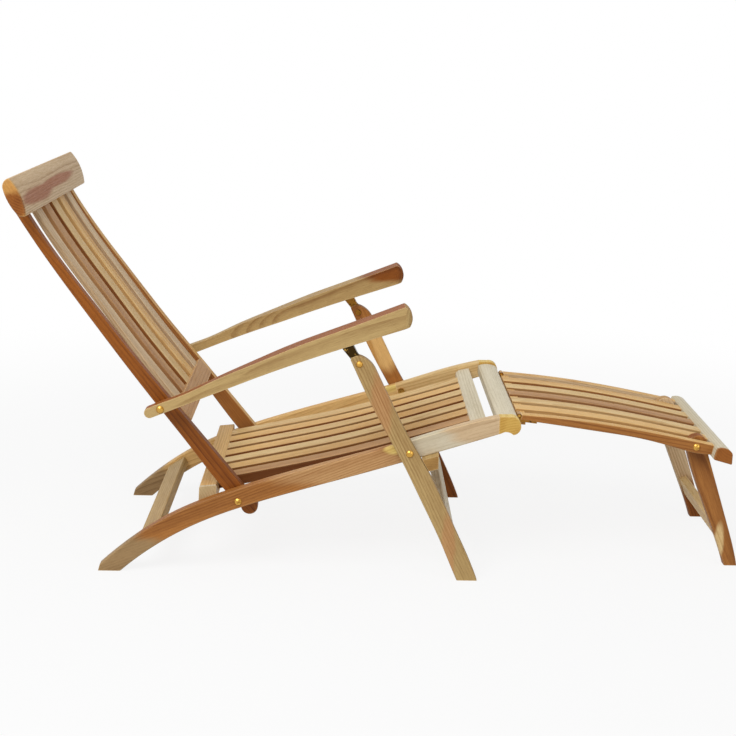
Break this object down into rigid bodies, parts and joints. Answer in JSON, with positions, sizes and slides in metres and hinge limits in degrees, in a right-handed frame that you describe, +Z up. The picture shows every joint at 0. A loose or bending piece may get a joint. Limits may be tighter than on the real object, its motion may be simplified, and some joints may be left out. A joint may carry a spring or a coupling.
{
  "type": "steamer deck chair",
  "caption": "Wooden steamer deck chair that folds flat: slatted seat and back between curved side rails, wide armrests, hinged front legs and a slatted footrest on its own folding legs.",
  "frame": {"origin": "on the floor, under the middle of the whole chair's bounding box", "axes": "+X towards the footrest, the way the sitter faces; +Y to the sitter's left; +Z up"},
  "size_m": [1.546, 0.606, 0.826],
  "materials": {
    "teak_pale": "satin, pale sapwood",
    "teak_tan": "satin, tan",
    "teak_honey": "satin, honey end grain",
    "teak_brown": "satin, reddish brown heartwood",
    "brass": "polished",
    "aged_brass": "dark, weathered"
  },
  "bodies": {
    "seat": {"rail_rear_left": "teak_brown", "rail_rear_right": "teak_brown", "rail_front_left": "teak_pale", "rail_front_right": "teak_pale", "nose_block_left": "teak_honey", "nose_block_right": "teak_honey", "rear_stretcher": "teak_brown", "seat_rear_board": "teak_tan", "seat_front_board": "teak_pale", "nose_bar": "teak_pale", "seat_slat_1": "teak_tan", "seat_slat_2": "teak_tan", "seat_slat_3": "teak_tan", "seat_slat_4": "teak_tan", "seat_slat_5": "teak_tan", "seat_slat_6": "teak_tan", "seat_slat_7": "teak_tan", "leg_stop_bar": "teak_tan", "back_bolt_left": "brass", "back_bolt_right": "brass", "leg_bolt_left": "brass", "leg_bolt_right": "brass", "footrest_hinge_left": "brass", "footrest_hinge_right": "brass"},
    "back": {"back_stile_left": "teak_brown", "back_stile_right": "teak_brown", "headrest_board": "teak_pale", "back_cross_rail": "teak_brown", "back_slat_1": "teak_tan", "back_slat_2": "teak_tan", "back_slat_3": "teak_tan", "back_slat_4": "teak_tan", "back_slat_5": "teak_tan", "arm_stud_left": "brass", "arm_stud_right": "brass"},
    "armrest_left": {"armrest_left": "teak_tan", "arm_track_left": "brass"},
    "armrest_right": {"armrest_right": "teak_tan", "arm_track_right": "brass"},
    "front_legs": {"front_leg_left": "teak_pale", "front_leg_right": "teak_pale", "leg_bracket_left": "aged_brass", "leg_bracket_right": "aged_brass", "leg_stretcher": "teak_tan"},
    "footrest": {"footrest_rail_left": "teak_brown", "footrest_rail_right": "teak_brown", "footrest_slat_1": "teak_tan", "footrest_slat_2": "teak_tan", "footrest_slat_3": "teak_tan", "footrest_slat_4": "teak_tan", "footrest_slat_5": "teak_tan", "footrest_end_board": "teak_pale", "footrest_rear_bar": "teak_brown", "footrest_strap_left": "brass", "footrest_strap_right": "brass", "footrest_leg_bolt_left": "brass", "footrest_leg_bolt_right": "brass"},
    "footrest_legs": {"footrest_leg_left": "teak_brown", "footrest_leg_right": "teak_brown", "footrest_leg_stretcher": "teak_brown"}
  },
  "joints": [
    {"name": "back_fold", "type": "hinge", "parent": "seat", "child": "back", "pos_m": [-0.308, 0, 0.158], "axis": [0, 1, 0], "range_deg": [0, 90]},
    {"name": "armrest_left_fold", "type": "hinge", "parent": "back", "child": "armrest_left", "pos_m": [-0.464, 0.264, 0.361], "axis": [0, 1, 0], "range_deg": [-94.5, 0]},
    {"name": "armrest_right_fold", "type": "hinge", "parent": "back", "child": "armrest_right", "pos_m": [-0.464, -0.264, 0.361], "axis": [0, 1, 0], "range_deg": [-94.5, 0]},
    {"name": "front_leg_fold", "type": "hinge", "parent": "seat", "child": "front_legs", "pos_m": [0.046, 0, 0.276], "axis": [0, 1, 0], "range_deg": [0, 80.1]},
    {"name": "footrest_lift", "type": "hinge", "parent": "seat", "child": "footrest", "pos_m": [0.2785, 0, 0.337], "axis": [0, -1, 0], "range_deg": [0, 45]},
    {"name": "footrest_leg_fold", "type": "hinge", "parent": "footrest", "child": "footrest_legs", "pos_m": [0.658, 0, 0.2755], "axis": [0, 1, 0], "range_deg": [0, 100]}
  ],
  "couplings": [
    {"joint": "armrest_left_fold", "follows": "back_fold", "ratio": -1.05},
    {"joint": "armrest_right_fold", "follows": "back_fold", "ratio": -1.05},
    {"joint": "front_leg_fold", "follows": "back_fold", "ratio": 0.89}
  ]
}
